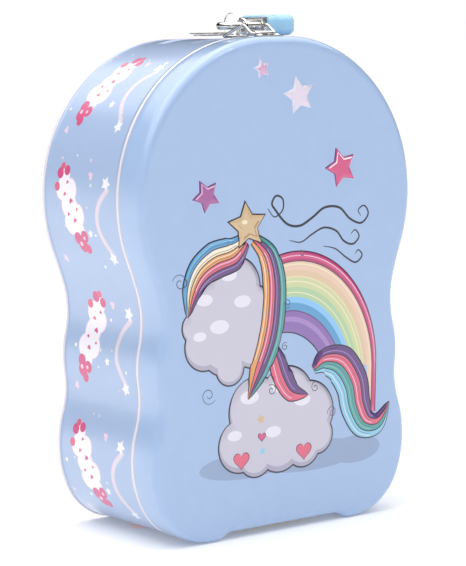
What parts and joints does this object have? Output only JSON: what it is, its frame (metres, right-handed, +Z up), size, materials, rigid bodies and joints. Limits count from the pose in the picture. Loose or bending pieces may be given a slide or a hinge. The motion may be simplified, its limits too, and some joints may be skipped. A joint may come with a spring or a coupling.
{
  "type": "tin money box",
  "caption": "Waisted tinplate money box standing on two feet, with a coin slot on top, a hinged front lid held by a wire hasp, a staple and a small padlock with keys.",
  "frame": {"origin": "middle of the box's footprint, on the surface it stands on", "axes": "+Z up, -Y towards the hinged lid at the front, +X to the right seen from the front"},
  "size_m": [0.125, 0.065, 0.1904],
  "materials": {
    "tin_lid": "printed and varnished tinplate, gloss",
    "tin_body": "printed and varnished tinplate, gloss",
    "tin_back": "printed and varnished tinplate, gloss",
    "hinge_steel": "plated, satin",
    "hardware": "nickel plated, bright",
    "lock_steel": "plated, satin",
    "lock_plastic": "moulded, gloss",
    "lock_brass": "turned, satin"
  },
  "bodies": {
    "box": {"base_wall": "tin_body", "back_panel": "tin_back", "base_hinge_leaf": "hinge_steel", "base_hinge_rivets": "hinge_steel", "hinge_pin": "hinge_steel", "staple": "hardware", "staple_plate": "hardware"},
    "lid": {"lid_shell": "tin_lid", "lid_hinge_leaf": "hinge_steel", "lid_hinge_rivets": "hinge_steel", "hasp_bracket": "hardware", "hasp_bracket_rivets": "hardware"},
    "hasp": {"hasp_wire": "hardware"},
    "shackle_body": {"shackle": "hardware"},
    "lock": {"lock_end_plate": "lock_steel", "lock_case": "lock_steel", "lock_cover": "lock_plastic", "shackle_spring": "lock_steel"},
    "plug": {"lock_plug": "lock_brass"},
    "bolt": {"lock_bolt": "lock_brass"},
    "ring": {"key_ring": "hardware"},
    "first_key": {"key_1": "hardware"},
    "second_key": {"key_2": "hardware"}
  },
  "joints": [
    {"name": "lid_hinge", "type": "hinge", "parent": "box", "child": "lid", "pos_m": [0, -0.0167, 0.00124], "axis": [1, 0, 0], "range_deg": [0, 105]},
    {"name": "padlock_lift", "type": "slide", "parent": "box", "child": "shackle_body", "axis": [0, 0, 1], "range_m": [0, 0.06]},
    {"name": "hasp_swing", "type": "hinge", "parent": "lid", "child": "hasp", "pos_m": [0, -0.0224, 0.18243], "axis": [1, 0, 0], "range_deg": [0, 135]},
    {"name": "plug_turn", "type": "hinge", "parent": "lock", "child": "plug", "pos_m": [0.02, -0.0048, 0.18548], "axis": [-1, 0, 0], "range_deg": [0, 90]},
    {"name": "lock_drop", "type": "slide", "parent": "shackle_body", "child": "lock", "axis": [1, 0, 0], "range_m": [0, 0.004]},
    {"name": "bolt_slide", "type": "slide", "parent": "lock", "child": "bolt", "axis": [0, 1, 0], "range_m": [0, 0.00121]},
    {"name": "ring_swing", "type": "hinge", "parent": "shackle_body", "child": "ring", "pos_m": [0.0025, 0.0002, 0.18548], "axis": [1, 0, 0], "range_deg": [0, 60]},
    {"name": "key_1_swing", "type": "hinge", "parent": "ring", "child": "first_key", "pos_m": [0.0025, 0.00287, 0.18218], "axis": [0, 0, 1], "range_deg": [-80, 0]},
    {"name": "key_2_swing", "type": "hinge", "parent": "ring", "child": "second_key", "pos_m": [0.0025, 0.00359, 0.18288], "axis": [0, 0, 1], "range_deg": [-65, 0]}
  ],
  "couplings": [
    {"joint": "hasp_swing", "follows": "padlock_lift", "rad_per_m": 39.27},
    {"joint": "plug_turn", "follows": "lock_drop", "rad_per_m": 392.7},
    {"joint": "bolt_slide", "follows": "lock_drop", "ratio": 0.3}
  ]
}
